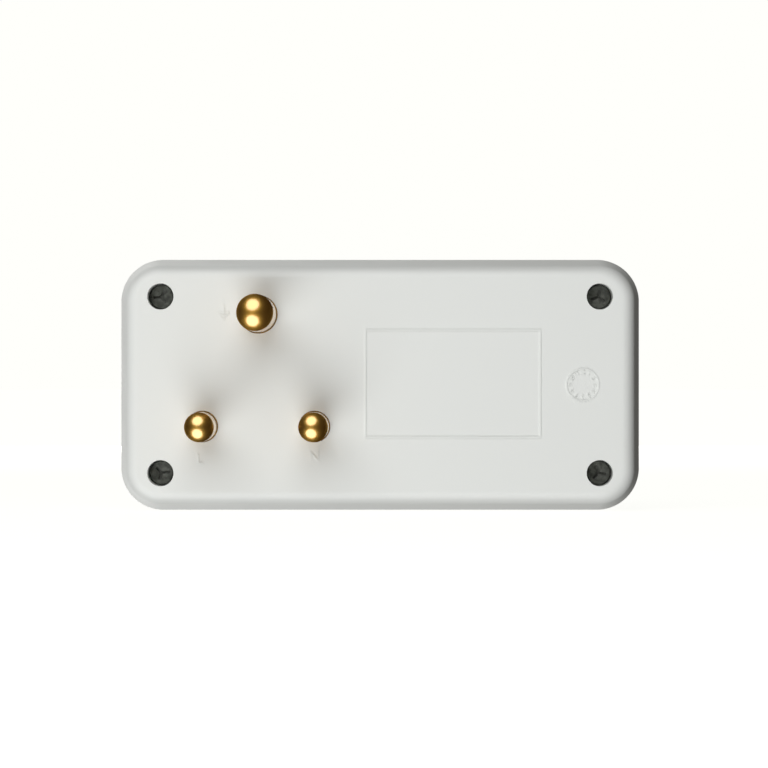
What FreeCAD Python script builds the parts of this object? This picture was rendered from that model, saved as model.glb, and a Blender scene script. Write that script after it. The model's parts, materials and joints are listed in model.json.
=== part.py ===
# Plug-in multi socket adapter: a flat moulded box that hangs on a wall outlet by three round pins
# and offers two three-pin outlets and one two-pin outlet on its front.
# Frame: origin at the centre of the wall face, +X right and +Z up as seen from behind, +Y into the box.
import FreeCAD, Part
import math
import os
import Sketcher
from FreeCAD import Placement, Rotation, Vector

document = FreeCAD.newDocument("multi_socket_adapter")

# Driving dimensions, in millimetres and degrees
driving = {
    "body_length": 125.9, "body_height": 60.8, "body_depth": 38.0, "split_depth": 13.6,
    "corner_radius": 10.2, "rear_draft_angle": 9.0, "front_draft_angle": 3.0,
    "rear_edge_radius": 3.2, "front_edge_radius": 3.0,
    "seam_chamfer": 0.25, "side_wall": 2.4, "rear_wall": 2.4, "front_wall": 2.6,
    "lip_height": 1.4, "lip_thickness": 1.1, "fit_gap": 0.15, "slide_gap": 0.3, "seat_gap": 0.05,
    "plug_x": -29.2, "lower_row_z": -10.0, "pin_spacing": 26.9, "earth_rise": 26.9,
    "pin_dia": 7.06, "pin_length": 19.05, "earth_pin_dia": 8.71, "earth_pin_length": 28.6,
    "cap_share": 0.25, "seat_oversize": 0.44, "flange_oversize": 4.0, "flange_thickness": 1.8, "boss_rise": 1.0,
    "boss_rim": 1.0, "tail_dia": 4.4, "rivet_head_dia": 6.2, "rivet_head_height": 1.0,
    "two_pin_rivet_dia": 2.4, "two_pin_rivet_head_dia": 3.6,
    "bar_thickness": 1.2, "bus_width": 4.6, "earth_bar_width": 7.6, "tab_width": 7.6,
    "two_pin_tab_width": 5.6, "live_bus_z": -19.5, "neutral_bus_z": -2.2,
    "outlet_pitch": 58.4, "hole_dia": 8.0, "earth_hole_dia": 9.6, "mouth_chamfer": 0.6,
    "two_pin_z": -3.5, "two_pin_spacing": 19.0, "two_pin_dia": 4.8, "two_pin_hole_dia": 5.2,
    "well_length": 36.5, "well_width": 14.7, "well_end_width": 6.6, "well_end_length": 5.4,
    "well_depth": 8.0, "well_floor": 2.0, "well_wall": 1.8,
    "strip_thickness": 0.8, "contact_slot": 1.5, "contact_flare": 0.45,
    "leg_width": 4.0, "two_pin_leg_width": 2.6, "leg_lap": 2.0, "bend_radius": 0.6,
    "leg_rise": 11.8, "earth_leg_rise": 5.2, "two_pin_leg_rise": 9.0,
    "contact_gap": 3.1, "ramp_gap": 0.7, "floor_gap": 0.8,
    "shutter_thickness": 2.0, "shutter_travel": 9.0, "shutter_pad": 9.2, "stem_width": 6.0,
    "ramp_drop": 4.4, "notch_width": 4.2, "notch_depth": 3.4, "shutter_corner": 2.2,
    "rail_thickness": 1.4, "rail_hook": 1.0, "rail_lip": 1.2,
    "spring_dia": 2.4, "spring_wire": 0.3, "spring_turns": 7, "spring_peg_dia": 1.3,
    "spring_peg_length": 2.0, "spring_seat_rise": 1.5, "spring_seat_width": 5.0,
    "screw_inset_x": 10.25, "screw_inset_z": 9.2, "well_dia": 6.3, "head_depth": 8.0,
    "column_wall": 1.5, "column_floor": 2.6, "screw_hole_dia": 3.4, "screw_dia": 3.0,
    "screw_head_dia": 5.8, "screw_head_height": 2.2, "screw_head_edge": 0.5, "screw_length": 14.0,
    "screw_point": 1.6, "recess_arm": 1.75, "recess_width": 0.75, "recess_depth": 1.1,
    "boss_dia": 7.4, "pilot_depth": 13.0, "rib_thickness": 1.2, "post_dia": 4.0,
    "earth_post_x": 15.0, "live_post_x": 4.4,
}

# Places and sizes that follow from the driving dimensions
derived = {
    "front_inner": "dims.body_depth - dims.front_wall",
    "flange_seat": "dims.rear_wall + dims.boss_rise",
    "bar_back": "dims.rear_wall + dims.boss_rise + dims.flange_thickness",
    "bar_front": "bar_back + dims.bar_thickness",
    "foot_front": "bar_front + dims.strip_thickness",
    "column_top": "dims.head_depth + dims.column_floor",
    "column_dia": "dims.well_dia + 2 * dims.column_wall",
    "inner_length": "dims.body_length - 2 * dims.side_wall",
    "inner_height": "dims.body_height - 2 * dims.side_wall",
    "column_rib_end": "inner_height / 2 + dims.side_wall / 4"
                      " - (dims.split_depth - dims.head_depth) * tan(dims.rear_draft_angle)",
    "lip_inset": "dims.side_wall - dims.lip_thickness",
    "screw_x": "dims.body_length / 2 - dims.screw_inset_x",
    "screw_z": "dims.body_height / 2 - dims.screw_inset_z",
    "upper_z": "dims.lower_row_z + dims.earth_rise",
    "outlet_b": "dims.plug_x + dims.outlet_pitch",
    "live_a": "dims.plug_x - dims.pin_spacing / 2",
    "neutral_a": "dims.plug_x + dims.pin_spacing / 2",
    "live_b": "outlet_b - dims.pin_spacing / 2",
    "neutral_b": "outlet_b + dims.pin_spacing / 2",
    "two_pin_x": "(dims.plug_x + outlet_b) / 2",
    "two_pin_live_z": "dims.two_pin_z - dims.two_pin_spacing / 2",
    "two_pin_neutral_z": "dims.two_pin_z + dims.two_pin_spacing / 2",
    "well_bottom": "dims.body_depth - dims.well_depth",
    "well_back": "well_bottom - dims.well_floor",
    "shutter_front": "front_inner - dims.slide_gap",
    "shutter_back": "shutter_front - dims.shutter_thickness",
    "shutter_mid": "shutter_front - dims.shutter_thickness / 2",
    "contact_top": "shutter_back - dims.contact_gap",
    "earth_contact_top": "shutter_back - dims.shutter_travel - dims.ramp_gap",
    "two_pin_contact_top": "well_back - dims.floor_gap",
    "ramp_foot_z": "upper_z - dims.ramp_drop",
    "spring_seat_z": "dims.spring_seat_rise - inner_height / 2",
    "bar_low_z": "dims.lower_row_z - dims.shutter_pad / 2",
    "bar_high_z": "dims.lower_row_z + dims.shutter_pad / 2",
    "notch_top": "bar_low_z + dims.notch_depth",
    "rail_start_z": "bar_high_z + dims.slide_gap",
    "rail_length": "ramp_foot_z - dims.shutter_travel - dims.slide_gap - rail_start_z",
    "boss_back": "column_top + dims.fit_gap",
}


def make_sheet(name, cells):
    """A spreadsheet with one named cell for each entry."""
    sheet = document.addObject("Spreadsheet::Sheet", name)
    for row, (alias, content) in enumerate(cells.items(), 1):
        sheet.set(f"A{row}", alias)
        sheet.set(f"B{row}", str(content))
        sheet.setAlias(f"B{row}", alias)
    return sheet


dims = make_sheet("dims", driving)
layout = make_sheet("layout", {alias: "=" + formula for alias, formula in derived.items()})
document.recompute()


def value(formula):
    """The number that a formula on the two sheets has now."""
    return float(layout.evalExpression(formula))


def new_body(name, x="0", z="0"):
    """A sub-part with its own axis placed at x, z on the wall face."""
    body = document.addObject("PartDesign::Body", name)
    body.Label = name
    body.setExpression("Placement.Base.x", x)
    body.setExpression("Placement.Base.z", z)
    return body


def new_sketch(body, name, role, offset):
    """A sketch on an origin plane of its own body, or at an offset from it."""
    sketch = body.newObject("Sketcher::SketchObject", name)
    plane = next(item for item in body.Origin.OriginFeatures if item.Role == role)
    sketch.AttachmentSupport = [(plane, "")]
    sketch.MapMode = "FlatFace"
    sketch.setExpression("AttachmentOffset.Base.z", offset)
    return sketch


def depth_sketch(body, name, depth):
    """A sketch in X and Z, parallel to the wall face and this deep behind it."""
    return new_sketch(body, name, "XZ_Plane", f"-({depth})")


def bind(sketch, kind, points, formula):
    """A sized constraint whose value follows a formula."""
    index = sketch.addConstraint(Sketcher.Constraint(kind, *points, value(formula)))
    sketch.setExpression(f"Constraints[{index}]", formula)


def place(sketch, element, end, across, up):
    """Fix one point of a sketch at signed distances from the sketch's origin."""
    bind(sketch, "DistanceX", (-1, 1, element, end), across)
    bind(sketch, "DistanceY", (-1, 1, element, end), up)


def circle(sketch, across, up, diameter):
    centre = Vector(value(across), value(up), 0)
    shape = Part.Circle(centre, Vector(0, 0, 1), value(diameter) / 2)
    element = sketch.addGeometry(shape)
    place(sketch, element, 3, across, up)
    bind(sketch, "Diameter", (element,), diameter)


def outline(sketch, points, closed=True):
    """Straight edges through points, each given by two formulas."""
    corners = [Vector(value(across), value(up), 0) for across, up in points]
    ends = corners[1:] + corners[:1] if closed else corners[1:]
    edges = [sketch.addGeometry(Part.LineSegment(a, b)) for a, b in zip(corners, ends)]
    for edge, point in zip(edges, points):
        place(sketch, edge, 1, *point)
    joined = zip(edges, edges[1:] + edges[:1]) if closed else zip(edges, edges[1:])
    for edge, following in joined:
        sketch.addConstraint(Sketcher.Constraint("Coincident", edge, 2, following, 1))
    if not closed:
        place(sketch, edges[-1], 2, *points[-1])
    return edges


def rectangle(sketch, left, right, low, high):
    outline(sketch, [(left, low), (right, low), (right, high), (left, high)])


def rounded_box(sketch, length, height, radius, across="0", up="0"):
    """A rectangle with round corners about a centre: four straight edges and four tangent arcs."""
    x, z = value(across), value(up)
    half_x, half_z, r = value(length) / 2, value(height) / 2, value(radius)
    flat_x, flat_z = half_x - r, half_z - r
    first = sketch.GeometryCount
    axis = Vector(0, 0, 1)
    quarters = [
        ((-flat_x, half_z), (flat_x, half_z), (flat_x, flat_z), 0.0),
        ((half_x, flat_z), (half_x, -flat_z), (flat_x, -flat_z), 1.5),
        ((flat_x, -half_z), (-flat_x, -half_z), (-flat_x, -flat_z), 1.0),
        ((-half_x, -flat_z), (-half_x, flat_z), (-flat_x, flat_z), 0.5),
    ]
    for start, end, centre, turn in quarters:
        sketch.addGeometry(Part.LineSegment(
            Vector(x + start[0], z + start[1], 0), Vector(x + end[0], z + end[1], 0)))
        corner = Part.Circle(Vector(x + centre[0], z + centre[1], 0), axis, r)
        sketch.addGeometry(Part.ArcOfCircle(corner, turn * math.pi, (turn + 0.5) * math.pi))
    lines = [first + 2 * side for side in range(4)]
    arcs = [line + 1 for line in lines]
    for side in range(4):
        sketch.addConstraint(Sketcher.Constraint("Tangent", lines[side], 2, arcs[side], 2))
        sketch.addConstraint(Sketcher.Constraint("Tangent", arcs[side], 1, lines[(side + 1) % 4], 1))
        kind = "Horizontal" if side % 2 == 0 else "Vertical"
        sketch.addConstraint(Sketcher.Constraint(kind, lines[side]))
    for arc in arcs[1:]:
        sketch.addConstraint(Sketcher.Constraint("Equal", arcs[0], arc))
    middle = sketch.addGeometry(Part.Point(Vector(x, z, 0)), True)
    place(sketch, middle, 1, across, up)
    sketch.addConstraint(Sketcher.Constraint("Symmetric", arcs[0], 3, arcs[2], 3, middle, 1))
    bind(sketch, "Radius", (arcs[0],), radius)
    bind(sketch, "DistanceX", (lines[3], 1, lines[1], 1), length)
    bind(sketch, "DistanceY", (lines[2], 1, lines[0], 1), height)


def pad(body, sketch, length, backwards=False, taper=None, both_ways=False):
    """Grow a sketch into the box (+Y) or, backwards, along its own plane's normal."""
    feature = body.newObject("PartDesign::Pad", sketch.Name + "_pad")
    feature.Profile = sketch
    feature.setExpression("Length", length)
    feature.Reversed = not backwards
    if both_ways:
        feature.SideType = "Symmetric"
    if taper:
        feature.setExpression("TaperAngle", taper)
    sketch.Visibility = False
    return feature


def pocket(body, sketch, length, backwards=False, taper=None):
    """Cut a sketch into the box (+Y) or, backwards, towards the wall face."""
    feature = body.newObject("PartDesign::Pocket", sketch.Name + "_cut")
    feature.Profile = sketch
    feature.setExpression("Length", length)
    feature.Reversed = backwards
    if taper:
        feature.setExpression("TaperAngle", taper)
    sketch.Visibility = False
    return feature


def dress(body, kind, size_name, size, choose):
    """A fillet or chamfer on every edge of the body so far that the test picks."""
    document.recompute()
    base = body.Tip
    picked = [f"Edge{n}" for n, edge in enumerate(base.Shape.Edges, 1) if choose(edge)]
    feature = body.newObject(kind, f"{base.Name}_{size_name.lower()}")
    feature.Base = (base, picked)
    feature.setExpression(size_name, size)
    return feature


def fillet(body, size, choose):
    return dress(body, "PartDesign::Fillet", "Radius", size, choose)


def chamfer(body, size, choose):
    return dress(body, "PartDesign::Chamfer", "Size", size, choose)


def lies_at_depth(depth):
    """Pick the edges that lie wholly in one plane parallel to the wall face."""
    level = value(depth)
    return lambda edge: max(abs(edge.BoundBox.YMin - level), abs(edge.BoundBox.YMax - level)) < 1e-4


def is_round(edge, diameter):
    return isinstance(edge.Curve, Part.Circle) and abs(edge.Curve.Radius * 2 - diameter) < 1e-4


def runs_across(edge, y, z):
    """True for a straight edge along X through this Y and Z."""
    box = edge.BoundBox
    return max(abs(box.YMin - y), abs(box.YMax - y), abs(box.ZMin - z), abs(box.ZMax - z)) < 1e-4


def turned(name, x, z, points, dome=None):
    """A body turned about its own Y axis from a half outline in radius and depth, closed by an arc if domed."""
    body = new_body(name, x, z)
    sketch = new_sketch(body, name + "_profile", "XY_Plane", "0")
    if dome is None:
        outline(sketch, points)
    else:
        edges = outline(sketch, points, closed=False)
        radius, tip = value(dome), value(points[-1][1])
        shape = Part.Circle(Vector(0, tip + radius, 0), Vector(0, 0, 1), radius)
        rise = math.atan2(value(points[0][1]) - tip - radius, value(points[0][0]))
        arc = sketch.addGeometry(Part.ArcOfCircle(shape, 1.5 * math.pi, 2 * math.pi + rise))
        sketch.addConstraint(Sketcher.Constraint("Coincident", arc, 2, edges[0], 1))
        sketch.addConstraint(Sketcher.Constraint("Coincident", arc, 1, edges[-1], 2))
        sketch.addConstraint(Sketcher.Constraint("PointOnObject", arc, 3, -2))
    feature = body.newObject("PartDesign::Revolution", name + "_turned")
    feature.Profile = sketch
    feature.ReferenceAxis = (sketch, ["V_Axis"])
    feature.Angle = 360
    sketch.Visibility = False
    return body


# Screw places, and the outlets with the bodies' x for their three contacts
corners = [(side, rise) for side in ("-", "") for rise in ("", "-")]
screw_places = [(f"{side}layout.screw_x", f"{rise}layout.screw_z") for side, rise in corners]
outlets = {
    "a": {"middle": "dims.plug_x", "live": "layout.live_a", "neutral": "layout.neutral_a"},
    "b": {"middle": "layout.outlet_b", "live": "layout.live_b", "neutral": "layout.neutral_b"},
}
lower_z, upper_z = "dims.lower_row_z", "layout.upper_z"
two_pin_holes = [("layout.two_pin_x", "layout.two_pin_live_z"), ("layout.two_pin_x", "layout.two_pin_neutral_z")]


def three_pins(outlet):
    """Name, x, z and pin size of an outlet's or the plug's three poles."""
    return [
        ("live", outlet["live"], lower_z, "dims.pin_dia"),
        ("neutral", outlet["neutral"], lower_z, "dims.pin_dia"),
        ("earth", outlet["middle"], upper_z, "dims.earth_pin_dia"),
    ]


# Rear cover: drafted tray with screw columns, pin bosses and a locating lip
def make_rear_cover():
    body = new_body("rear_cover")
    shell = depth_sketch(body, "cover_outline", "dims.split_depth")
    rounded_box(shell, "dims.body_length", "dims.body_height", "dims.corner_radius")
    pad(body, shell, "dims.split_depth", backwards=True, taper="-dims.rear_draft_angle")
    fillet(body, "dims.rear_edge_radius", lies_at_depth("0"))
    chamfer(body, "dims.seam_chamfer", lies_at_depth("dims.split_depth"))
    hollow = depth_sketch(body, "cover_hollow", "dims.split_depth")
    rounded_box(hollow, "layout.inner_length", "layout.inner_height", "dims.corner_radius - dims.side_wall")
    pocket(body, hollow, "dims.split_depth - dims.rear_wall", backwards=True, taper="-dims.rear_draft_angle")
    lip = depth_sketch(body, "cover_lip", "dims.split_depth")
    rounded_box(lip, "dims.body_length - 2 * layout.lip_inset", "dims.body_height - 2 * layout.lip_inset",
                "dims.corner_radius - layout.lip_inset")
    rounded_box(lip, "layout.inner_length", "layout.inner_height", "dims.corner_radius - dims.side_wall")
    pad(body, lip, "dims.lip_height")

    ribs = depth_sketch(body, "column_ribs", "dims.rear_wall / 2")
    for x, z in screw_places:
        outward = "-" if z.startswith("-") else ""
        rectangle(ribs, f"{x} - dims.rib_thickness / 2", f"{x} + dims.rib_thickness / 2",
                  f"{z}", f"{outward}layout.column_rib_end")
    pad(body, ribs, "layout.column_top - dims.rear_wall / 2 - dims.column_floor")
    columns = depth_sketch(body, "screw_columns", "dims.rear_wall / 2")
    for x, z in screw_places:
        circle(columns, x, z, "layout.column_dia")
    pad(body, columns, "layout.column_top - dims.rear_wall / 2")
    wells = depth_sketch(body, "screw_wells", "0")
    holes = depth_sketch(body, "screw_holes", "dims.head_depth / 2")
    for x, z in screw_places:
        circle(wells, x, z, "dims.well_dia")
        circle(holes, x, z, "dims.screw_hole_dia")
    pocket(body, wells, "dims.head_depth")
    pocket(body, holes, "layout.column_top - dims.head_depth / 2")

    bosses = depth_sketch(body, "pin_bosses", "dims.rear_wall / 2")
    bores = depth_sketch(body, "pin_holes", "0")
    for _, x, z, pin in three_pins(outlets["a"]):
        circle(bosses, x, z, f"{pin} + dims.flange_oversize + 2 * dims.boss_rim")
        circle(bores, x, z, f"{pin} + dims.seat_oversize + 2 * dims.seat_gap")
    pad(body, bosses, "layout.flange_seat - dims.rear_wall / 2")
    pocket(body, bores, "layout.flange_seat")

    rings = depth_sketch(body, "bar_rests", "dims.rear_wall / 2")
    hollows = depth_sketch(body, "bar_rest_hollows", "dims.rear_wall")
    for _, x, z, pin in three_pins(outlets["b"]):
        circle(rings, x, z, "dims.rivet_head_dia + 4 * dims.boss_rim")
        circle(hollows, x, z, "dims.rivet_head_dia + 2 * dims.slide_gap")
    for x, z in two_pin_holes:
        circle(rings, x, z, "dims.two_pin_rivet_head_dia + 3 * dims.boss_rim")
        circle(hollows, x, z, "dims.two_pin_rivet_head_dia + 2 * dims.slide_gap")
    pad(body, rings, "layout.bar_back - dims.rear_wall / 2")
    pocket(body, hollows, "layout.bar_back - dims.rear_wall")
    return body


def well_shape(sketch, grow):
    """The two-pin outlet's long hexagon, grown outwards by a wall."""
    x, z = "layout.two_pin_x", "dims.two_pin_z"
    half_length, half_width = f"(dims.well_length / 2 + {grow})", f"(dims.well_width / 2 + {grow})"
    half_end, shoulder = f"(dims.well_end_width / 2 + {grow} / 2)", f"(dims.well_length / 2 - dims.well_end_length)"
    outline(sketch, [
        (f"{x} - {half_end}", f"{z} - {half_length}"), (f"{x} + {half_end}", f"{z} - {half_length}"),
        (f"{x} + {half_width}", f"{z} - {shoulder}"), (f"{x} + {half_width}", f"{z} + {shoulder}"),
        (f"{x} + {half_end}", f"{z} + {half_length}"), (f"{x} - {half_end}", f"{z} + {half_length}"),
        (f"{x} - {half_width}", f"{z} + {shoulder}"), (f"{x} - {half_width}", f"{z} - {shoulder}"),
    ])


# Front housing: drafted shell with the outlet holes, the two-pin well, bosses, posts and shutter rails
def make_front_housing():
    body = new_body("front_housing")
    inward = "layout.front_inner + dims.front_wall / 2"
    shell = depth_sketch(body, "housing_outline", "dims.split_depth")
    rounded_box(shell, "dims.body_length", "dims.body_height", "dims.corner_radius")
    pad(body, shell, "dims.body_depth - dims.split_depth", taper="-dims.front_draft_angle")
    fillet(body, "dims.front_edge_radius", lies_at_depth("dims.body_depth"))
    chamfer(body, "dims.seam_chamfer", lies_at_depth("dims.split_depth"))
    hollow = depth_sketch(body, "housing_hollow", "dims.split_depth")
    rounded_box(hollow, "layout.inner_length", "layout.inner_height", "dims.corner_radius - dims.side_wall")
    pocket(body, hollow, "layout.front_inner - dims.split_depth", taper="-dims.front_draft_angle")
    rebate = depth_sketch(body, "lip_rebate", "dims.split_depth")
    rounded_box(rebate, "dims.body_length - 2 * layout.lip_inset + 2 * dims.fit_gap",
                "dims.body_height - 2 * layout.lip_inset + 2 * dims.fit_gap",
                "dims.corner_radius - layout.lip_inset + dims.fit_gap")
    pocket(body, rebate, "dims.lip_height + dims.fit_gap")

    ribs = depth_sketch(body, "boss_ribs", "dims.split_depth + dims.lip_height + 2 * dims.fit_gap")
    bosses = depth_sketch(body, "screw_bosses", "layout.boss_back")
    pilots = depth_sketch(body, "screw_pilots", "layout.boss_back")
    for x, z in screw_places:
        outward = "-" if z.startswith("-") else ""
        rectangle(ribs, f"{x} - dims.rib_thickness / 2", f"{x} + dims.rib_thickness / 2",
                  f"{z}", f"{outward}(dims.body_height / 2 - dims.side_wall)")
        circle(bosses, x, z, "dims.boss_dia")
        circle(pilots, x, z, "dims.screw_dia + 2 * dims.seat_gap")
    pad(body, ribs, f"{inward} - (dims.split_depth + dims.lip_height + 2 * dims.fit_gap)")
    pad(body, bosses, f"{inward} - layout.boss_back")
    pocket(body, pilots, "dims.pilot_depth")

    well_block = depth_sketch(body, "well_block", "layout.well_back")
    well_shape(well_block, "dims.well_wall")
    pad(body, well_block, f"{inward} - layout.well_back")
    well = depth_sketch(body, "two_pin_well", "layout.well_bottom")
    well_shape(well, "0 * dims.well_wall")
    pocket(body, well, "dims.well_depth + dims.front_wall")

    posts = depth_sketch(body, "bar_posts", "layout.bar_front + dims.fit_gap")
    for side in ("-", "+"):
        circle(posts, f"layout.two_pin_x {side} dims.earth_post_x", upper_z, "dims.post_dia")
    pad(body, posts, f"{inward} - layout.bar_front - dims.fit_gap")
    well_posts = depth_sketch(body, "well_posts", "layout.bar_front + dims.fit_gap")
    for side in ("-", "+"):
        circle(well_posts, f"layout.two_pin_x {side} dims.live_post_x", "dims.live_bus_z", "dims.post_dia")
    pad(body, well_posts, "layout.well_back + dims.well_floor / 2 - layout.bar_front - dims.fit_gap")

    for name, outlet in outlets.items():
        middle = outlet["middle"]
        rails = new_sketch(body, f"rails_{name}", "XY_Plane", "layout.rail_start_z")
        near = "(dims.stem_width / 2 + dims.slide_gap)"
        hook = "(dims.stem_width / 2 + dims.slide_gap - dims.rail_hook)"
        far = "(dims.stem_width / 2 + dims.slide_gap + dims.rail_thickness)"
        lip_top = "layout.shutter_back - dims.slide_gap"
        for side in ("-", "+"):
            outline(rails, [
                (f"{middle} {side} {near}", inward), (f"{middle} {side} {far}", inward),
                (f"{middle} {side} {far}", f"{lip_top} - dims.rail_lip"),
                (f"{middle} {side} {hook}", f"{lip_top} - dims.rail_lip"),
                (f"{middle} {side} {hook}", lip_top), (f"{middle} {side} {near}", lip_top),
            ])
        pad(body, rails, "layout.rail_length", backwards=True)
        seat = new_sketch(body, f"spring_seat_{name}", "XY_Plane", "layout.spring_seat_z")
        rectangle(seat, f"{middle} - dims.spring_seat_width / 2", f"{middle} + dims.spring_seat_width / 2",
                  "layout.shutter_back - dims.slide_gap", inward)
        pad(body, seat, "layout.inner_height / 2 + layout.spring_seat_z")
        peg = new_sketch(body, f"spring_peg_{name}", "XY_Plane", "layout.spring_seat_z")
        circle(peg, middle, "layout.shutter_mid", "dims.spring_peg_dia")
        pad(body, peg, "dims.spring_peg_length", backwards=True)

        holes = depth_sketch(body, f"outlet_{name}_holes", "layout.front_inner - dims.front_wall / 2")
        for pole, x, z, _ in three_pins(outlet):
            circle(holes, x, z, "dims.earth_hole_dia" if pole == "earth" else "dims.hole_dia")
        pocket(body, holes, "2 * dims.front_wall")
    small_holes = depth_sketch(body, "two_pin_outlet_holes", "layout.well_back - dims.well_floor / 2")
    for x, z in two_pin_holes:
        circle(small_holes, x, z, "dims.two_pin_hole_dia")
    pocket(body, small_holes, "2 * dims.well_floor")
    front = lies_at_depth("dims.body_depth")
    mouths = [value("dims.earth_hole_dia"), value("dims.hole_dia")]
    chamfer(body, "dims.mouth_chamfer", lambda edge: front(edge) and any(is_round(edge, d) for d in mouths))
    return body


# Plug pins: shank with a domed cap, seat in the cover, flange behind it and a tail headed over the bar
def make_pin(name, x, z, dia, length):
    radius, seat = f"{dia} / 2", f"({dia} + dims.seat_oversize) / 2"
    cap = f"({dia} * dims.cap_share)"
    cap_radius = f"(({radius}) ^ 2 + {cap} ^ 2) / (2 * {cap})"
    flange, tail = f"({dia} + dims.flange_oversize) / 2", "dims.tail_dia / 2"
    head = "dims.rivet_head_dia / 2"
    top = "layout.foot_front + dims.rivet_head_height"
    return turned(name, x, z, [
        (radius, f"{cap} - {length}"), (radius, "0"), (seat, "0"), (seat, "layout.flange_seat"),
        (flange, "layout.flange_seat"), (flange, "layout.bar_back"), (tail, "layout.bar_back"),
        (tail, "layout.foot_front"), (head, "layout.foot_front"), (head, top), ("0", top),
        ("0", f"-{length}"),
    ], dome=cap_radius)


# Rivets: two flat heads on a shank through a bar and a contact's foot
def make_rivet(name, x, z, shank, head):
    back = "layout.bar_back - dims.rivet_head_height"
    top = "layout.foot_front + dims.rivet_head_height"
    return turned(name, x, z, [
        ("0", back), (f"{head} / 2", back), (f"{head} / 2", "layout.bar_back"),
        (f"{shank} / 2", "layout.bar_back"), (f"{shank} / 2", "layout.foot_front"),
        (f"{head} / 2", "layout.foot_front"), (f"{head} / 2", top), ("0", top),
    ])


# Cover screws: flat head with a three-armed recess, shank and cone point
def make_cover_screw(name, x, z):
    head_top = "dims.head_depth - dims.screw_head_height"
    tip = "dims.head_depth + dims.screw_length"
    body = turned(name, x, z, [
        ("0", head_top), ("dims.screw_head_dia / 2", head_top), ("dims.screw_head_dia / 2", "dims.head_depth"),
        ("dims.screw_dia / 2", "dims.head_depth"), ("dims.screw_dia / 2", f"{tip} - dims.screw_point"),
        ("0", tip),
    ])
    rim, head_dia = lies_at_depth(head_top), value("dims.screw_head_dia")
    chamfer(body, "dims.screw_head_edge", lambda edge: rim(edge) and is_round(edge, head_dia))
    arm = depth_sketch(body, name + "_recess", head_top)
    rectangle(arm, "-dims.recess_width / 2", "dims.recess_width / 2", "0", "dims.recess_arm")
    cut = pocket(body, arm, "dims.recess_depth")
    document.recompute()
    spread = body.newObject("PartDesign::PolarPattern", name + "_arms")
    spread.Originals = [cut]
    spread.Axis = (arm, ["N_Axis"])
    spread.Angle = 360
    spread.Occurrences = 3
    body.Tip = spread
    return body


# Bars: flat strips with round-ended tabs and a rivet hole for each pin or contact
def make_bar(name, bus_z, width, ends, taps, joins_through):
    body = new_body(name)
    first, last = ends
    bus = depth_sketch(body, name + "_bus", "layout.bar_back")
    rounded_box(bus, f"{last} - {first} + dims.tab_width", width, f"{width} / 2 - dims.seat_gap",
                f"({first} + {last}) / 2", bus_z)
    pad(body, bus, "dims.bar_thickness")
    for number, (x, z, tab, _) in enumerate(taps, 1):
        if not joins_through:
            arm = depth_sketch(body, f"{name}_tab_{number}", "layout.bar_back")
            reach = f"abs({z} - {bus_z}) + {tab} / 2 + {width} / 2"
            shift = f"({z} - {bus_z}) / abs({z} - {bus_z}) * ({tab} - {width}) / 4"
            rounded_box(arm, tab, reach, f"{width} / 2 - dims.seat_gap", x, f"({z} + {bus_z}) / 2 + {shift}")
            pad(body, arm, "dims.bar_thickness")
    holes = depth_sketch(body, name + "_holes", "layout.bar_back")
    for x, z, _, shank in taps:
        circle(holes, x, z, f"{shank} + 2 * dims.seat_gap")
    pocket(body, holes, "dims.bar_thickness")
    return body


# Contacts: slotted tube with a flared mouth on a leg that bends into a riveted foot
def make_contact(name, x, z, dia, shank, top, leg_rise, leg_width, leg_up):
    body = new_body(name, x, z)
    if not leg_up:
        body.Placement = Placement(Vector(body.Placement.Base), Rotation(Vector(0, 1, 0), 180))
        body.setExpression("Placement.Base.x", x)
        body.setExpression("Placement.Base.z", z)
    inner = f"({dia} / 2 + dims.seat_gap)"
    outer = f"({inner} + dims.strip_thickness)"
    start = f"(layout.foot_front + {leg_rise})"
    tube = depth_sketch(body, name + "_tube", start)
    circle(tube, "0", "0", f"2 * {inner}")
    circle(tube, "0", "0", f"2 * {outer}")
    pad(body, tube, f"{top} - {start}")
    slot = depth_sketch(body, name + "_slot", start)
    rectangle(slot, "-dims.contact_slot / 2", "dims.contact_slot / 2", f"-2 * {outer}", "0")
    pocket(body, slot, f"{top} - {start}")
    mouth, bore = lies_at_depth(top), value(f"2 * {inner}")
    chamfer(body, "dims.contact_flare", lambda edge: mouth(edge) and is_round(edge, bore))

    strip = new_sketch(body, name + "_strip", "YZ_Plane", "0")
    foot_back, foot_front = "layout.bar_front", "layout.foot_front"
    leg_top = f"{start} + dims.leg_lap"
    outline(strip, [
        (foot_back, "0"), (foot_front, "0"), (foot_front, inner),
        (leg_top, inner), (leg_top, outer), (foot_back, outer),
    ])
    pad(body, strip, leg_width, both_ways=True)
    z_in, z_out = value(inner), value(outer)
    fillet(body, "dims.bend_radius", lambda edge: runs_across(edge, value(foot_front), z_in))
    fillet(body, "dims.bend_radius + dims.strip_thickness",
           lambda edge: runs_across(edge, value(foot_back), z_out))
    foot = depth_sketch(body, name + "_foot", foot_back)
    circle(foot, "0", "0", f"{shank} + 4 * dims.strip_thickness")
    pad(body, foot, "dims.strip_thickness")
    hole = depth_sketch(body, name + "_rivet_hole", foot_back)
    circle(hole, "0", "0", f"{shank} + 2 * dims.seat_gap")
    pocket(body, hole, "dims.strip_thickness")
    return body


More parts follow.
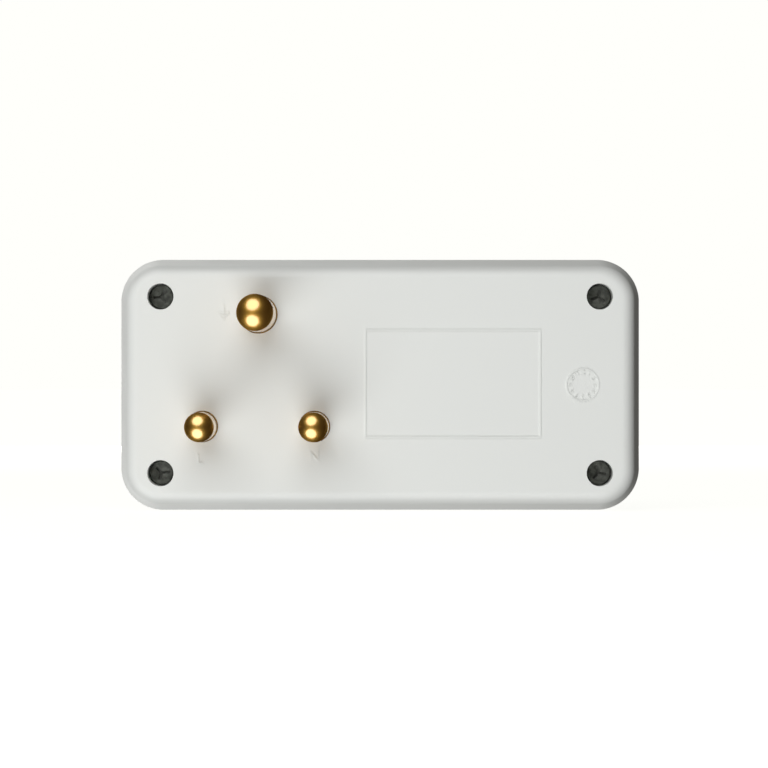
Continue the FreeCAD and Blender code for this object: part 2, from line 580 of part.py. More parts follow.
# Shutters: a crossbar over the live and neutral holes, a stem and a ramp under the earth hole
def make_shutter(name, x):
    body = new_body(name, x)
    wide = "(dims.pin_spacing / 2 + dims.shutter_pad / 2)"
    stem, notch = "dims.stem_width / 2", "dims.notch_width / 2"
    low, high, notch_top = "layout.bar_low_z", "layout.bar_high_z", "layout.notch_top"
    plate = depth_sketch(body, name + "_plate", "layout.shutter_back")
    outline(plate, [
        (f"-{wide}", low), (f"-{notch}", low), (f"-{notch}", notch_top), (notch, notch_top), (notch, low),
        (wide, low), (wide, high), (stem, high), (stem, "layout.ramp_foot_z"),
        (f"-{stem}", "layout.ramp_foot_z"), (f"-{stem}", high), (f"-{wide}", high),
    ])
    pad(body, plate, "dims.shutter_thickness")
    half_length = value(wide)
    fillet(body, "dims.shutter_corner", lambda edge: edge.BoundBox.YLength > 1
           and abs(abs(edge.BoundBox.Center.x) - half_length) < 1e-4)
    ramp = new_sketch(body, name + "_ramp", "YZ_Plane", "0")
    foot, crest = "layout.ramp_foot_z", "layout.ramp_foot_z + dims.shutter_travel"
    outline(ramp, [
        ("layout.shutter_back", foot), ("layout.shutter_front", foot),
        ("layout.shutter_front - dims.shutter_travel", crest),
        ("layout.shutter_back - dims.shutter_travel", crest),
    ])
    pad(body, ramp, "dims.stem_width", both_ways=True)
    peg = new_sketch(body, name + "_peg", "XY_Plane", "layout.notch_top")
    circle(peg, "0", "layout.shutter_mid", "dims.spring_peg_dia")
    pad(body, peg, "dims.spring_peg_length")
    return body


# Shutter springs: a coil of square wire in short chords, closed between seat and notch
def make_spring(name, x):
    chords = 12
    turns, wire = int(value("dims.spring_turns")), value("dims.spring_wire")
    length = value("layout.notch_top - layout.spring_seat_z")
    mean = (value("dims.spring_dia") - wire) / 2
    square = [(-wire / 2, -wire / 2), (wire / 2, -wire / 2), (wire / 2, wire / 2), (-wire / 2, wire / 2)]
    sections = []
    for step in range(chords * turns + 1):
        angle = 2 * math.pi * step / chords
        middle = wire / 2 + (length - wire) * step / (chords * turns)
        ring = [Vector((mean + out) * math.cos(angle), (mean + out) * math.sin(angle), middle + up)
                for out, up in square]
        sections.append(Part.makePolygon(ring + ring[:1]))
    spring = document.addObject("Part::Feature", name)
    spring.Label = name
    spring.Shape = Part.makeLoft(sections, True, True)
    spring.setExpression("Placement.Base.x", x)
    spring.setExpression("Placement.Base.y", "layout.shutter_mid")
    spring.setExpression("Placement.Base.z", "layout.spring_seat_z")
    return spring


pieces = [make_rear_cover(), make_front_housing()]
for pole, x, z, dia in three_pins(outlets["a"]):
    length = "dims.earth_pin_length" if pole == "earth" else "dims.pin_length"
    pieces.append(make_pin(f"{pole}_pin", x, z, dia, length))
for pole, x, z, _ in three_pins(outlets["b"]):
    pieces.append(make_rivet(f"{pole}_rivet", x, z, "dims.tail_dia", "dims.rivet_head_dia"))
for pole, (x, z) in zip(("live", "neutral"), two_pin_holes):
    pieces.append(make_rivet(f"two_pin_{pole}_rivet", x, z, "dims.two_pin_rivet_dia",
                             "dims.two_pin_rivet_head_dia"))

large_tap, small_tap = ("dims.tab_width", "dims.tail_dia"), ("dims.two_pin_tab_width", "dims.two_pin_rivet_dia")
pieces.append(make_bar("earth_bar", upper_z, "dims.earth_bar_width", ("dims.plug_x", "layout.outlet_b"),
                       [(outlet["middle"], upper_z, *large_tap) for outlet in outlets.values()], True))
for pole, (x, z) in zip(("live", "neutral"), two_pin_holes):
    taps = [(outlet[pole], lower_z, *large_tap) for outlet in outlets.values()] + [(x, z, *small_tap)]
    ends = [outlet[pole] for outlet in outlets.values()]
    pieces.append(make_bar(f"{pole}_bar", f"dims.{pole}_bus_z", "dims.bus_width", ends, taps, False))

for name, outlet in outlets.items():
    for pole, x, z, dia in three_pins(outlet):
        kind = "earth_" if pole == "earth" else ""
        pieces.append(make_contact(f"{pole}_contact_{name}", x, z, dia, "dims.tail_dia", f"layout.{kind}contact_top",
                                   f"dims.{kind}leg_rise", "dims.leg_width", pole != "live"))
for pole, (x, z) in zip(("live", "neutral"), two_pin_holes):
    pieces.append(make_contact(f"two_pin_{pole}_contact", x, z, "dims.two_pin_dia", "dims.two_pin_rivet_dia",
                               "layout.two_pin_contact_top", "dims.two_pin_leg_rise",
                               "dims.two_pin_leg_width", pole != "live"))

for name, outlet in outlets.items():
    pieces.append(make_shutter(f"shutter_{name}", outlet["middle"]))
    pieces.append(make_spring(f"shutter_spring_{name}", outlet["middle"]))
for number, (x, z) in enumerate(screw_places, 1):
    pieces.append(make_cover_screw(f"cover_screw_{number}", x, z))

document.recompute()

for item in document.Objects:
    if {"Invalid", "Error"} & set(item.State):
        raise RuntimeError(f"{item.Label} did not build: {item.State}")
os.makedirs("parts", exist_ok=True)
for piece in pieces:
    if piece.Shape.isNull() or not piece.Shape.isValid() or not piece.Shape.Solids:
        raise RuntimeError(f"{piece.Label} has no valid solid")
for piece in pieces:
    piece.Shape.exportStep(f"parts/{piece.Label}.step")
    print(piece.Label, len(piece.Shape.Solids), "solid,", round(piece.Shape.Volume, 1), "mm3")
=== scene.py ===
import json
import math

import bmesh
import bpy
from mathutils import Matrix, Vector


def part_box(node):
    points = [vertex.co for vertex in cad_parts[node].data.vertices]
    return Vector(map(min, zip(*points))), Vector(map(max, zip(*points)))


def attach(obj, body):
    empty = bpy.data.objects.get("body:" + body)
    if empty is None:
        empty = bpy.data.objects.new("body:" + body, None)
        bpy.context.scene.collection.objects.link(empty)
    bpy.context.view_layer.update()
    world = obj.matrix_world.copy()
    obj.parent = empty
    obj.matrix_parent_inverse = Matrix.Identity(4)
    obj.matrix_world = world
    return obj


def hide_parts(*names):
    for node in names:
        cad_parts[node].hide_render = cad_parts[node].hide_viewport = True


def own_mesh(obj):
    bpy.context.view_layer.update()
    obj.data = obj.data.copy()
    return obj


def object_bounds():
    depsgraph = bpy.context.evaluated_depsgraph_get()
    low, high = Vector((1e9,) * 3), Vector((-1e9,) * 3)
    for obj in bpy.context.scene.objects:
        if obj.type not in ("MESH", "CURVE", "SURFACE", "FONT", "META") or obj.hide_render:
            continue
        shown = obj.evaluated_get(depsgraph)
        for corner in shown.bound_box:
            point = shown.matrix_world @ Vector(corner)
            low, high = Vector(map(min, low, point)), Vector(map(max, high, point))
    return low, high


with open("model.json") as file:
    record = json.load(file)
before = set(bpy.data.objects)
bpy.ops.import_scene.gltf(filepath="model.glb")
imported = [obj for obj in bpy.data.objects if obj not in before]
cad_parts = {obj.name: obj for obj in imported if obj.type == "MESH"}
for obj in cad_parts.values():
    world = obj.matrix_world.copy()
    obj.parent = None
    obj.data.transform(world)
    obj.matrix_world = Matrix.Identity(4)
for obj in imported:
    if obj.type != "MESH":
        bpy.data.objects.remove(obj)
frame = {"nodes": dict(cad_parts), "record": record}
cadLow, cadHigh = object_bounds()
mounts = {mount["name"]: mount for mount in frame["record"]["mounts"]}
collection = bpy.context.scene.collection
mm = 0.001
weldGap = 0.001 * mm


# Shader and geometry graphs

class Wire:
    def __init__(self, graph, socket):
        self.graph, self.socket = graph, socket

    def __add__(self, other):
        return self.graph.maths("ADD", self, other)

    def __sub__(self, other):
        return self.graph.maths("SUBTRACT", self, other)

    def __mul__(self, other):
        return self.graph.maths("MULTIPLY", self, other)

    def __truediv__(self, other):
        return self.graph.maths("DIVIDE", self, other)

    def __rsub__(self, other):
        return self.graph.maths("SUBTRACT", other, self)


class Graph:
    def __init__(self, tree):
        self.tree = tree
        tree.nodes.clear()

    def plug(self, socket, value):
        if isinstance(value, Wire):
            self.tree.links.new(value.socket, socket)
        else:
            socket.default_value = value

    def node(self, kind, inputs=None, output=0, **settings):
        made = self.tree.nodes.new(kind)
        for name, value in settings.items():
            setattr(made, name, value)
        for name, value in (inputs or {}).items():
            self.plug(made.inputs[name], value)
        return Wire(self, made.outputs[output]) if made.outputs else made

    def maths(self, operation, *values):
        return self.node("ShaderNodeMath", dict(enumerate(values)), operation=operation)

    def vector(self, x, y, z):
        return self.node("ShaderNodeCombineXYZ", {"X": x, "Y": y, "Z": z})

    def added(self, first, second):
        return self.node("ShaderNodeVectorMath", {0: first, 1: second}, operation="ADD")

    def between(self, value, low, high):
        return self.node("ShaderNodeMapRange", {"Value": value, "From Min": low, "From Max": high},
                         interpolation_type="SMOOTHSTEP")

    def mixed(self, amount, first, second):
        return self.node("ShaderNodeMix", {0: amount, 6: first, 7: second}, 2, data_type="RGBA")

    def noise(self, vector, scale, detail, roughness=0.5):
        return self.node("ShaderNodeTexNoise", {"Vector": vector, "Scale": scale, "Detail": detail,
                                                "Roughness": roughness})

    def place(self):
        return self.node("ShaderNodeTexCoord", output="Object")

    def axes(self, vector):
        split = self.node("ShaderNodeSeparateXYZ", {"Vector": vector}).socket.node
        return [Wire(self, output) for output in split.outputs]

    def relief(self, height, strength, distance):
        return self.node("ShaderNodeBump", {"Height": height, "Strength": strength, "Distance": distance})


def newMaterial(name):
    material = bpy.data.materials.new(name)
    material.use_nodes = True
    return material, Graph(material.node_tree)


def showSurface(graph, shader):
    graph.node("ShaderNodeOutputMaterial", {"Surface": shader})


def tint(red, green, blue):
    return (red, green, blue, 1)


# Finishes

def plasticFinish(name, spec):
    material, graph = newMaterial(name)
    place = graph.place()
    cloud = graph.noise(place, spec["cloudScale"], detail=3)
    grain = graph.noise(place, spec["grainScale"], detail=4, roughness=0.6)
    colour = graph.mixed(cloud, spec["colour"], spec["shade"])
    rough = graph.between(cloud, *spec["cloudBand"]) * spec["roughSpread"] + spec["roughness"]
    shader = graph.node("ShaderNodeBsdfPrincipled", {
        "Base Color": colour, "Roughness": rough, "IOR": spec["refraction"],
        "Normal": graph.relief(grain, spec["bump"], spec["bumpDepth"])})
    showSurface(graph, shader)
    return material


def metalFinish(name, spec):
    material, graph = newMaterial(name)
    place = graph.place()
    cloud = graph.noise(place, spec["cloudScale"], detail=3)
    colour = graph.mixed(graph.between(cloud, *spec["cloudBand"]), spec["colour"], spec["shade"])
    if spec["turned"]:  # tool marks run round the axis, so they vary with depth alone
        marks = graph.node("ShaderNodeTexNoise", {"W": graph.axes(place)[1], "Scale": spec["markScale"],
                                                  "Detail": 3}, noise_dimensions="1D")
    else:
        marks = graph.noise(place, spec["markScale"], detail=3)
    rough = cloud * spec["roughSpread"] + spec["roughness"]
    shader = graph.node("ShaderNodeBsdfPrincipled", {
        "Base Color": colour, "Roughness": rough, "Metallic": spec["metallic"],
        "Coat Weight": spec["coat"], "Coat Roughness": spec["coatRoughness"],
        "Coat IOR": spec["coatRefraction"], "Normal": graph.relief(marks, spec["bump"], spec["bumpDepth"])})
    showSurface(graph, shader)
    return material


plasticSpec = {"refraction": 1.49, "roughSpread": 0.06, "cloudBand": (0.3, 0.7), "bumpDepth": 0.02 * mm}
shellSpec = {**plasticSpec, "colour": tint(0.785, 0.80, 0.775), "shade": tint(0.77, 0.785, 0.76),
             "cloudScale": 60, "grainScale": 5200, "bump": 0.12, "roughness": 0.4}
metalSpec = {"roughSpread": 0.1, "cloudBand": (0.35, 0.65), "bumpDepth": 0.01 * mm, "coat": 0.0,
             "coatRoughness": 0.16, "coatRefraction": 2.2}
finishes = {
    "housing_plastic": plasticFinish("shellPlastic", shellSpec),
    "front_plastic": plasticFinish("frontPlastic", {**shellSpec, "roughness": 0.36}),
    "shutter_plastic": plasticFinish("shutterPlastic", {
        **plasticSpec, "colour": tint(0.72, 0.73, 0.72), "shade": tint(0.69, 0.70, 0.69), "cloudScale": 90,
        "grainScale": 4000, "bump": 0.1, "roughness": 0.45}),
    "pin_brass": metalFinish("pinBrass", {
        **metalSpec, "colour": tint(0.84, 0.5, 0.1), "shade": tint(0.8, 0.45, 0.075), "cloudScale": 160,
        "markScale": 9000, "bump": 0.05, "roughness": 0.28, "metallic": 1.0, "turned": True, "coat": 1.0}),
    "rivet_brass": metalFinish("rivetBrass", {
        **metalSpec, "colour": tint(0.78, 0.58, 0.27), "shade": tint(0.7, 0.5, 0.22), "cloudScale": 300,
        "markScale": 3000, "bump": 0.1, "roughness": 0.3, "metallic": 1.0, "turned": True}),
    "strip_brass": metalFinish("stripBrass", {
        **metalSpec, "colour": tint(0.78, 0.6, 0.3), "shade": tint(0.72, 0.54, 0.26), "cloudScale": 120,
        "markScale": 2500, "bump": 0.1, "roughness": 0.3, "metallic": 1.0, "turned": False}),
    "spring_steel": metalFinish("springSteel", {
        **metalSpec, "colour": tint(0.6, 0.6, 0.6), "shade": tint(0.5, 0.5, 0.5), "cloudScale": 300,
        "markScale": 3000, "bump": 0.05, "roughness": 0.25, "metallic": 1.0, "turned": False}),
    "screw_black": metalFinish("screwBlack", {
        **metalSpec, "colour": tint(0.15, 0.157, 0.138), "shade": tint(0.075, 0.08, 0.069), "cloudScale": 700,
        "markScale": 4500, "bump": 0.3, "roughness": 0.38, "metallic": 0.3, "turned": False}),
}

slotOf = {part["node"]: part["material_slot"] for part in frame["record"]["subparts"]}
for nodeName, cadObject in frame["nodes"].items():
    cadObject.data.materials.clear()
    cadObject.data.materials.append(finishes[slotOf[nodeName]])
print("finishes on", len(frame["nodes"]), "nodes")


# Mesh helpers

def newPiece(name, mesh, slot):
    mesh.materials.clear()
    mesh.materials.append(finishes[slot])
    piece = bpy.data.objects.new(name, mesh)
    collection.objects.link(piece)
    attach(piece, "housing")
    return piece


def settled(name, holder):
    holder.data.name = name + "Draft"
    bpy.context.view_layer.update()
    graph = bpy.context.evaluated_depsgraph_get()
    evaluated = holder.evaluated_get(graph)
    mesh = bpy.data.meshes.new_from_object(evaluated, preserve_all_data_layers=True, depsgraph=graph)
    mesh.name = name
    mesh.transform(holder.matrix_world)
    bpy.data.objects.remove(holder)
    return mesh


def smoothByAngle(mesh, degrees):
    mesh.polygons.foreach_set("use_smooth", [True] * len(mesh.polygons))
    mesh.set_sharp_from_angle(angle=math.radians(degrees))


def newTree(name, sizes):
    tree = bpy.data.node_groups.new(name, "GeometryNodeTree")
    for label, kind in {"Geometry": "Geometry", **sizes}.items():
        tree.interface.new_socket(label, in_out="INPUT", socket_type="NodeSocket" + kind)
    tree.interface.new_socket("Geometry", in_out="OUTPUT", socket_type="NodeSocketGeometry")
    graph = Graph(tree)
    entry = tree.nodes.new("NodeGroupInput")
    return graph, {socket.name: Wire(graph, socket) for socket in entry.outputs if socket.name}


def closeTree(graph, geometry, material):
    real = graph.node("GeometryNodeRealizeInstances", {"Geometry": geometry})
    dressed = graph.node("GeometryNodeSetMaterial", {"Geometry": real, "Material": material})
    graph.node("NodeGroupOutput", {"Geometry": dressed})
    return graph.tree


bevelSpec = {"segments": 2, "angle": 40}


def grown(name, tree, values, base=None, bevel=0):
    holder = bpy.data.objects.new(name + "Draft", base or bpy.data.meshes.new(name + "Base"))
    modifier = holder.modifiers.new("nodes", "NODES")
    modifier.node_group = tree
    for item in tree.interface.items_tree:
        if item.in_out == "INPUT" and item.name in values:
            modifier[item.identifier] = values[item.name]
    if bevel:
        softener = holder.modifiers.new("softEdges", "BEVEL")
        softener.width = bevel
        softener.segments = bevelSpec["segments"]
        softener.angle_limit = math.radians(bevelSpec["angle"])
    collection.objects.link(holder)
    return faceOutwards(settled(name, holder))


def faceOutwards(mesh):
    shell = bmesh.new()
    shell.from_mesh(mesh)
    bmesh.ops.recalc_face_normals(shell, faces=shell.faces)
    shell.to_mesh(mesh)
    shell.free()
    return mesh


def profileMesh(name, points):
    mesh = bpy.data.meshes.new(name + "Profile")
    mesh.from_pydata([(radius, depth, 0) for radius, depth in points],
                     [(n, n + 1) for n in range(len(points) - 1)], [])
    return mesh


def buildLatheTree():  # a profile of radius and depth, turned about the depth axis at a place
    graph, given = newTree("lathe", {"Sides": "Int", "Place": "Vector", "Material": "Material"})
    profile, sides = given["Geometry"], given["Sides"]
    around = sides + 1
    rows = graph.node("GeometryNodeAttributeDomainSize", {"Geometry": profile}, component="MESH")
    grid = graph.node("GeometryNodeMeshGrid", {"Vertices X": rows, "Vertices Y": around})
    index = graph.node("GeometryNodeInputIndex")
    row = graph.maths("FLOOR", (index + 0.5) / around)
    turn = (index - row * around) * (2 * math.pi) / sides
    point = graph.node("GeometryNodeSampleIndex", {
        "Geometry": profile, "Value": graph.node("GeometryNodeInputPosition"), "Index": row},
        data_type="FLOAT_VECTOR", domain="POINT")
    radius, depth, _ = graph.axes(point)
    spot = graph.vector(radius * graph.maths("COSINE", turn), depth, radius * graph.maths("SINE", turn))
    bent = graph.node("GeometryNodeSetPosition", {"Geometry": grid, "Position": graph.added(spot, given["Place"])})
    closed = graph.node("GeometryNodeMergeByDistance", {"Geometry": bent, "Distance": weldGap})
    return closeTree(graph, closed, given["Material"])


latheTree = buildLatheTree()


# Shells: the moulded form of the solids with even, smooth normals

shellPieces = {"rear_cover": ("rearShell", "housing_plastic"), "front_housing": ("frontShell", "front_plastic")}
roundSpec = {
    "cornerRadius": 10.2 * mm, "draft": {"rear_cover": 9, "front_housing": 3}, "split": 13.6 * mm, "cuts": 3,
    "slack": 0.4 * mm, "slip": 0.0001 * mm, "wallSkin": 2.3 * mm, "innerLimit": 5 * mm, "leastSweep": 0.02,
    "screwWell": {"least": 3.1 * mm, "most": 3.2 * mm, "shallow": -0.1 * mm, "deep": 8.1 * mm},
    "outlet": {"inside": 0.05 * mm, "outside": 0.65 * mm, "shallow": 27 * mm, "deep": 39 * mm},
    "flatNormal": 0.999, "flatAngle": 0.2, "sharpAngle": 32,
}


def finerRound(shell, axis, belongs, spec):  # more points on a round, set back on its true radius
    def polar(vert):
        return math.hypot(vert.co.x - axis[0], vert.co.z - axis[1])

    band = {vert for vert in shell.verts if belongs(vert, polar(vert))}
    levels = {}
    for vert in band:
        depth = round(vert.co.y, 7)
        levels[depth] = max(levels.get(depth, 0), polar(vert))
    ladder = sorted(levels.items())

    def reach(depth):
        for (low, first), (high, second) in zip(ladder, ladder[1:]):
            if low - spec["slip"] <= depth <= high + spec["slip"]:
                return first + (second - first) * min(max((depth - low) / (high - low), 0), 1)
        return ladder[0][1]

    bowed = []
    for edge in shell.edges:
        first, second = edge.verts
        sweep = (first.co - axisAt(axis, first)).angle(second.co - axisAt(axis, second), 0)
        flat = all(abs(face.normal.y) > spec["flatNormal"] for face in edge.link_faces)
        if first in band and second in band and sweep > spec["leastSweep"] and not flat:
            bowed.append(edge)
    made = bmesh.ops.subdivide_edges(shell, edges=bowed, cuts=spec["cuts"], use_grid_fill=True)["geom_inner"]
    for vert in made:
        if isinstance(vert, bmesh.types.BMVert):
            centre = axisAt(axis, vert)
            vert.co = centre + (vert.co - centre).normalized() * reach(vert.co.y)


def axisAt(axis, vert):
    return Vector((axis[0], vert.co.y, axis[1]))


def cornerBand(corner, sides, endDepth, draft, spec):
    def belongs(vert, radius):
        beyond = vert.co.x * sides[0] > corner.x and vert.co.z * sides[1] > corner.z
        wall = spec["cornerRadius"] - abs(vert.co.y - spec["split"]) * math.tan(math.radians(draft))
        nearEnd = abs(vert.co.y - endDepth) < spec["wallSkin"] and radius > spec["innerLimit"]
        return beyond and (radius > wall - spec["slack"] or nearEnd)
    return belongs


def holeBand(least, most, shallow, deep):
    return lambda vert, radius: least < radius < most and shallow < vert.co.y < deep


def refineRounds(shell, node, spec):
    low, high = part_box(node)
    screwLow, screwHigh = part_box("cover_screw_1")
    well, outlet = spec["screwWell"], spec["outlet"]
    corner = Vector((high.x - spec["cornerRadius"], 0, high.z - spec["cornerRadius"]))
    endDepth = low.y if node == "rear_cover" else high.y
    for side in (-1, 1):
        for rise in (-1, 1):
            quarter = cornerBand(corner, (side, rise), endDepth, spec["draft"][node], spec)
            finerRound(shell, (side * corner.x, rise * corner.z), quarter, spec)
            if node == "rear_cover":
                place = (side * abs(screwLow.x + screwHigh.x) / 2, rise * abs(screwLow.z + screwHigh.z) / 2)
                finerRound(shell, place, holeBand(**well), spec)
    for name, mount in mounts.items():
        if node == "front_housing" and "outlet" in name:
            radius, place = mount["dims"]["r_mm"] * mm, mount["pos_m"]
            mouth = holeBand(radius - outlet["inside"], radius + outlet["outside"], outlet["shallow"], outlet["deep"])
            finerRound(shell, (place[0], place[2]), mouth, spec)


def buildShell(node, name, slot, spec):
    draft = bpy.data.objects.new(name + "Draft", frame["nodes"][node].data.copy())
    collection.objects.link(draft)
    shell = bmesh.new()
    shell.from_mesh(draft.data)
    bmesh.ops.remove_doubles(shell, verts=shell.verts, dist=weldGap)
    bmesh.ops.dissolve_limit(shell, angle_limit=math.radians(spec["flatAngle"]), verts=shell.verts, edges=shell.edges)
    refineRounds(shell, node, spec)
    bmesh.ops.triangulate(shell, faces=[face for face in shell.faces if len(face.verts) > 4])
    shell.to_mesh(draft.data)
    shell.free()
    if "custom_normal" in draft.data.attributes:
        draft.data.attributes.remove(draft.data.attributes["custom_normal"])
    smoothByAngle(draft.data, spec["sharpAngle"])
    evener = draft.modifiers.new("evenNormals", "WEIGHTED_NORMAL")
    evener.keep_sharp = True
    evener.weight = 100
    piece = newPiece(name, settled(name, draft), slot)
    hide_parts(node)


for nodeName, (pieceName, slotName) in shellPieces.items():
    buildShell(nodeName, pieceName, slotName, roundSpec)
print("shells built")


# Pins: turned brass with a domed tip, a thin groove at the wall face, a seat, a flange and a headed tail

pinSpec = {
    "sides": 128, "capSteps": 18, "capShare": 0.25, "edgeRound": 0.06 * mm, "edgeSteps": 4,
    "seatGrow": 0.22 * mm, "groove": 1.6 * mm, "seatDepth": 3.4 * mm, "flangeDepth": 5.2 * mm, "tailRadius": 2.2 * mm,
    "headDepth": 7.2 * mm, "headRadius": 3.1 * mm, "sharpAngle": 30,
}


def tipProfile(radius, tip, spec):
    rise = 2 * radius * spec["capShare"]
    sphere = (radius ** 2 + rise ** 2) / (2 * rise)
    edge = spec["edgeRound"]
    turnAngle = math.asin((radius - edge) / (sphere - edge))  # where the cap runs into the rounded edge
    points = []
    for step in range(spec["capSteps"] + 1):
        angle = turnAngle * step / spec["capSteps"]
        points.append((sphere * math.sin(angle), tip + sphere * (1 - math.cos(angle))))
    centreDepth = tip + sphere - (sphere - edge) * math.cos(turnAngle)
    for step in range(1, spec["edgeSteps"] + 1):
        angle = turnAngle + (math.pi / 2 - turnAngle) * step / spec["edgeSteps"]
        points.append((radius - edge + edge * math.sin(angle), centreDepth - edge * math.cos(angle)))
    return points


def buildPin(pole, spec):
    node = f"{pole}_pin"
    low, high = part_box(node)
    mount = mounts[f"plug_{pole}_pin"]
    radius = mount["dims"]["r_mm"] * mm
    flange = (high.x - low.x) / 2
    seat = radius + spec["seatGrow"]
    profile = tipProfile(radius, low.y, spec) + [
        (radius, spec["groove"]), (seat, spec["groove"]), (seat, spec["seatDepth"]), (flange, spec["seatDepth"]),
        (flange, spec["flangeDepth"]), (spec["tailRadius"], spec["flangeDepth"]),
        (spec["tailRadius"], spec["headDepth"]), (spec["headRadius"], spec["headDepth"]),
        (spec["headRadius"], high.y), (0, high.y),
    ]
    place = (mount["pos_m"][0], 0.0, mount["pos_m"][2])
    name = f"{pole}Pin"
    mesh = grown(name, latheTree, {"Sides": spec["sides"], "Place": place, "Material": finishes["pin_brass"]},
                 profileMesh(name, profile))
    smoothByAngle(mesh, spec["sharpAngle"])
    piece = newPiece(name, mesh, "pin_brass")
    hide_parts(node)


for poleName in ("live", "neutral", "earth"):
    buildPin(poleName, pinSpec)
print("pins built")


# Cover screws: black heads with a three-armed recess, down in the wells

screwSpec = {
    "sides": 64, "headRadius": 2.9 * mm, "edge": 0.4 * mm, "edgeSteps": 6, "shankRadius": 1.5 * mm,
    "pointLength": 1.6 * mm, "headHeight": 2.2 * mm, "armLength": 1.85 * mm, "armWidth": 0.74 * mm,
    "armDepth": 1.1 * mm, "arms": 3, "softEdge": 0.12 * mm, "sharpAngle": 35,
    "turns": {"cover_screw_1": 24, "cover_screw_2": 78, "cover_screw_3": 8, "cover_screw_4": 100},
}


def buildScrewTree():  # a turned screw with arms cut into its head, turned together
    graph, given = newTree("screw", {
        "Sides": "Int", "Place": "Vector", "Top": "Float", "Arms": "Int", "Arm Width": "Float",
        "Arm Depth": "Float", "Arm Length": "Float", "Turn": "Float", "Material": "Material"})
    solid = graph.node("GeometryNodeGroup", {
        name: given[name] for name in ("Geometry", "Sides", "Place", "Material")}, node_tree=latheTree)
    size = graph.vector(given["Arm Width"], given["Arm Depth"] * 2, given["Arm Length"])
    block = graph.node("GeometryNodeMeshCube", {"Size": size})
    arm = graph.node("GeometryNodeTransform", {
        "Geometry": block, "Translation": graph.vector(0, 0, given["Arm Length"] / 2)})
    points = graph.node("GeometryNodeMeshLine", {"Count": given["Arms"], "Offset": (0, 0, 0)},
                        mode="OFFSET", count_mode="TOTAL")
    turn = graph.node("GeometryNodeInputIndex") * (2 * math.pi) / given["Arms"] + given["Turn"]
    facing = graph.node("FunctionNodeEulerToRotation", {"Euler": graph.vector(0, turn, 0)})
    arms = graph.node("GeometryNodeInstanceOnPoints", {"Points": points, "Instance": arm, "Rotation": facing})
    tool = graph.node("GeometryNodeTransform", {
        "Geometry": graph.node("GeometryNodeRealizeInstances", {"Geometry": arms}),
        "Translation": graph.added(given["Place"], graph.vector(0, given["Top"], 0))})
    cut = graph.node("GeometryNodeMeshBoolean", {"Mesh 1": solid, "Mesh 2": tool, "Self Intersection": True},
                     operation="DIFFERENCE", solver="EXACT")
    return closeTree(graph, cut, given["Material"])


screwTree = buildScrewTree()


def buildScrew(node, turn, spec):
    low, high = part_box(node)
    top, seat, radius, edge = low.y, low.y + spec["headHeight"], spec["headRadius"], spec["edge"]
    profile = [(0, top)]
    for step in range(spec["edgeSteps"] + 1):  # quarter round at the head's rim
        angle = math.pi / 2 * step / spec["edgeSteps"]
        profile.append((radius - edge + edge * math.sin(angle), top + edge * (1 - math.cos(angle))))
    profile += [(radius, seat), (spec["shankRadius"], seat), (spec["shankRadius"], high.y - spec["pointLength"]),
                (0, high.y)]
    name = "coverScrew" + node[-1]
    mesh = grown(name, screwTree, {
        "Sides": spec["sides"], "Place": ((low.x + high.x) / 2, 0.0, (low.z + high.z) / 2), "Top": top,
        "Arms": spec["arms"], "Arm Width": spec["armWidth"], "Arm Depth": spec["armDepth"],
        "Arm Length": spec["armLength"], "Turn": math.radians(turn), "Material": finishes["screw_black"],
    }, profileMesh(name, profile), spec["softEdge"])
    smoothByAngle(mesh, spec["sharpAngle"])
    piece = newPiece(name, mesh, "screw_black")
    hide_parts(node)


for nodeName, turnAngle in screwSpec["turns"].items():
    buildScrew(nodeName, turnAngle, screwSpec)
print("screws built")


# Shutter springs: round wire coils with closed end turns, seated on the housing and squeezed by the shutter

springSpec = {"turns": 7, "wire": 0.3 * mm, "width": 2.4 * mm, "pointsPerTurn": 28, "wireSides": 12, "keep": 0.41,
              "sharpAngle": 40}


def buildCoilTree():
    graph, given = newTree("coil", {
        "Turns": "Float", "Radius": "Float", "Wire": "Float", "Length": "Float", "Steps": "Int",
        "Wire Sides": "Int", "Place": "Vector", "Material": "Material"})
    pitched = given["Length"] - given["Wire"]
    helix = graph.node("GeometryNodeCurveSpiral", {
        "Resolution": given["Steps"], "Rotations": given["Turns"], "Start Radius": given["Radius"],
        "End Radius": given["Radius"], "Height": pitched})
    x, y, z = graph.axes(graph.node("GeometryNodeInputPosition"))
    share = z / pitched
    closing = 1 - given["Wire"] * given["Turns"] / pitched
    eased = share - graph.maths("SINE", share * (2 * math.pi)) * closing / (2 * math.pi)
    shaped = graph.node("GeometryNodeSetPosition", {
        "Geometry": helix, "Position": graph.vector(x, y, eased * pitched + given["Wire"] / 2)})
    ring = graph.node("GeometryNodeCurvePrimitiveCircle", {
        "Resolution": given["Wire Sides"], "Radius": given["Wire"] / 2}, mode="RADIUS")
    wire = graph.node("GeometryNodeCurveToMesh", {"Curve": shaped, "Profile Curve": ring, "Fill Caps": True})
    placed = graph.node("GeometryNodeTransform", {"Geometry": wire, "Translation": given["Place"]})
    return closeTree(graph, placed, given["Material"])


coilTree = buildCoilTree()


def buildSpring(letter, spec):
    node = f"shutter_spring_{letter}"
    low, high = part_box(node)
    foot = ((low.x + high.x) / 2, (low.y + high.y) / 2, low.z)
    name = "shutterSpring" + letter.upper()
    mesh = grown(name, coilTree, {
        "Turns": float(spec["turns"]), "Radius": (spec["width"] - spec["wire"]) / 2, "Wire": spec["wire"],
        "Length": high.z - low.z, "Steps": spec["pointsPerTurn"], "Wire Sides": spec["wireSides"],
        "Place": foot, "Material": finishes["spring_steel"]})
    smoothByAngle(mesh, spec["sharpAngle"])
    piece = newPiece(name, mesh, "spring_steel")
    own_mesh(piece)
    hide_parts(node)


for letterName in ("a", "b"):
    buildSpring(letterName, springSpec)
print("springs built")


# Raised marks on the wall face: label frame, pole marks and a mould date dial

